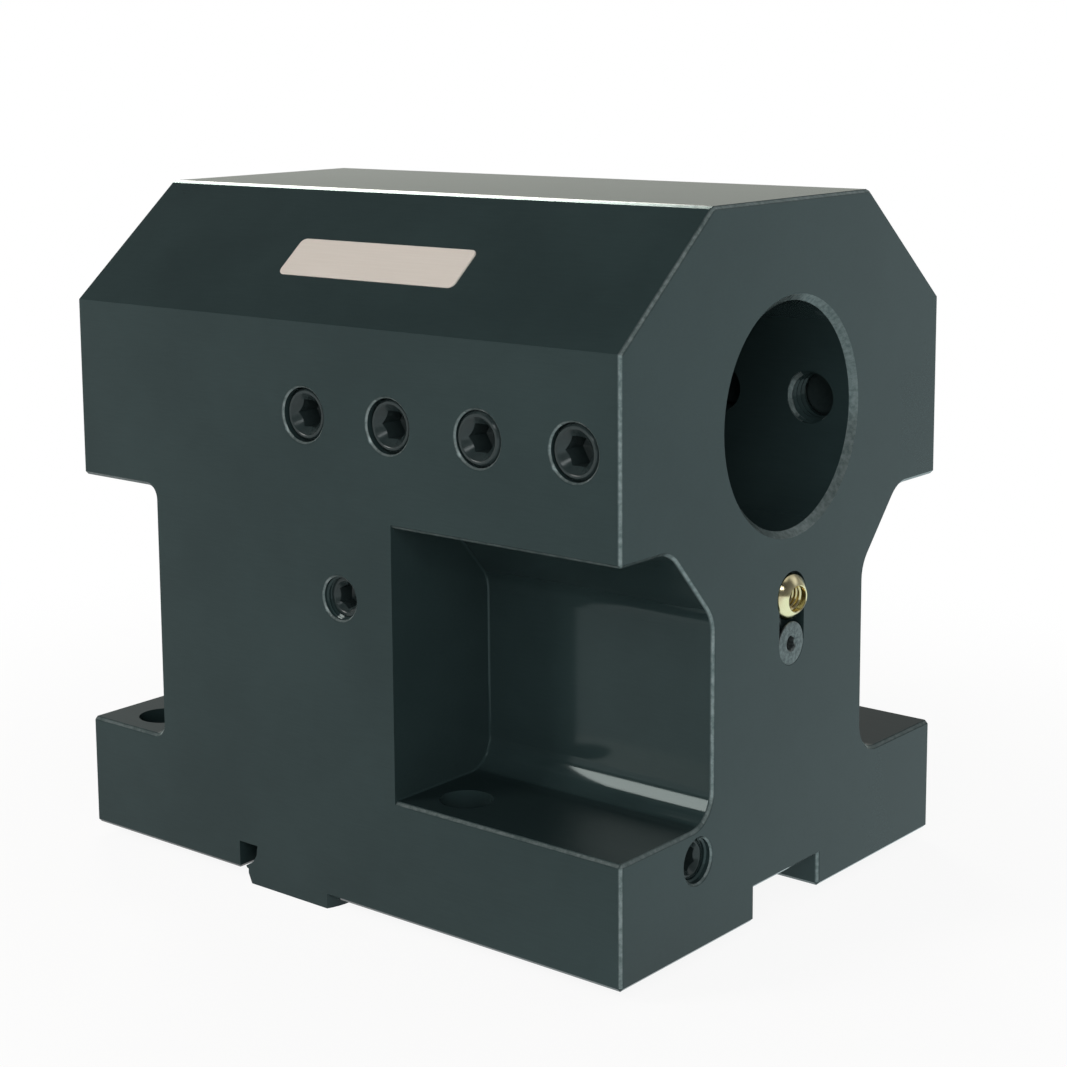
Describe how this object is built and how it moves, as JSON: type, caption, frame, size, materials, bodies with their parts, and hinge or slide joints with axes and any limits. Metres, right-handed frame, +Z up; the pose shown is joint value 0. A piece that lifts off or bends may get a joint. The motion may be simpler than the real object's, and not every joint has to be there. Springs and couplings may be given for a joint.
{
  "type": "boring bar holder",
  "caption": "Bolt-on turret holder for a round boring bar: steel block with a through bore, opposed clamp screws in both sides, and a swivelling coolant nozzle.",
  "frame": {"origin": "centre of the four base bolts, on the mounting face, in the bore's upright middle plane", "axes": "+X out of the bore's mouth, along the bore; -Y at the long side that the picture shows; +Z up from the mounting face to the crown"},
  "size_m": [0.1637, 0.124, 0.1592],
  "materials": {
    "black_steel": "black oxide over ground steel, satin",
    "screw_steel": "blackened",
    "plain_steel": "dull grey",
    "nozzle_brass": "turned, bright",
    "seal_rubber": "matte"
  },
  "bodies": {
    "block": {"holder_body": "black_steel", "side_plug": "screw_steel", "front_plug": "screw_steel", "riser_plug": "plain_steel", "inlet_seal": "seal_rubber", "nozzle_seal": "seal_rubber", "nozzle_lock_screw": "plain_steel"},
    "clamp_screw_left_1": {"clamp_screw_left_1": "screw_steel"},
    "clamp_screw_left_2": {"clamp_screw_left_2": "screw_steel"},
    "clamp_screw_left_3": {"clamp_screw_left_3": "screw_steel"},
    "clamp_screw_left_4": {"clamp_screw_left_4": "screw_steel"},
    "clamp_screw_right_1": {"clamp_screw_right_1": "screw_steel"},
    "clamp_screw_right_2": {"clamp_screw_right_2": "screw_steel"},
    "clamp_screw_right_3": {"clamp_screw_right_3": "screw_steel"},
    "clamp_screw_right_4": {"clamp_screw_right_4": "screw_steel"},
    "nozzle": {"coolant_nozzle": "nozzle_brass"}
  },
  "joints": [
    {"name": "clamp_screw_left_1_travel", "type": "slide", "parent": "block", "child": "clamp_screw_left_1", "axis": [0, 1, 0], "range_m": [-0.00525, 0.007]},
    {"name": "clamp_screw_left_2_travel", "type": "slide", "parent": "block", "child": "clamp_screw_left_2", "axis": [0, 1, 0], "range_m": [-0.00525, 0.007]},
    {"name": "clamp_screw_left_3_travel", "type": "slide", "parent": "block", "child": "clamp_screw_left_3", "axis": [0, 1, 0], "range_m": [-0.00525, 0.007]},
    {"name": "clamp_screw_left_4_travel", "type": "slide", "parent": "block", "child": "clamp_screw_left_4", "axis": [0, 1, 0], "range_m": [-0.00525, 0.007]},
    {"name": "clamp_screw_right_1_travel", "type": "slide", "parent": "block", "child": "clamp_screw_right_1", "axis": [0, -1, 0], "range_m": [-0.00525, 0.007]},
    {"name": "clamp_screw_right_2_travel", "type": "slide", "parent": "block", "child": "clamp_screw_right_2", "axis": [0, -1, 0], "range_m": [-0.00525, 0.007]},
    {"name": "clamp_screw_right_3_travel", "type": "slide", "parent": "block", "child": "clamp_screw_right_3", "axis": [0, -1, 0], "range_m": [-0.00525, 0.007]},
    {"name": "clamp_screw_right_4_travel", "type": "slide", "parent": "block", "child": "clamp_screw_right_4", "axis": [0, -1, 0], "range_m": [-0.00525, 0.007]},
    {"name": "nozzle_tilt", "type": "hinge", "parent": "block", "child": "nozzle", "pos_m": [0.098, 0, 0.0698], "axis": [0.1219, 0.9925, 0], "range_deg": [-16, 10]}
  ]
}
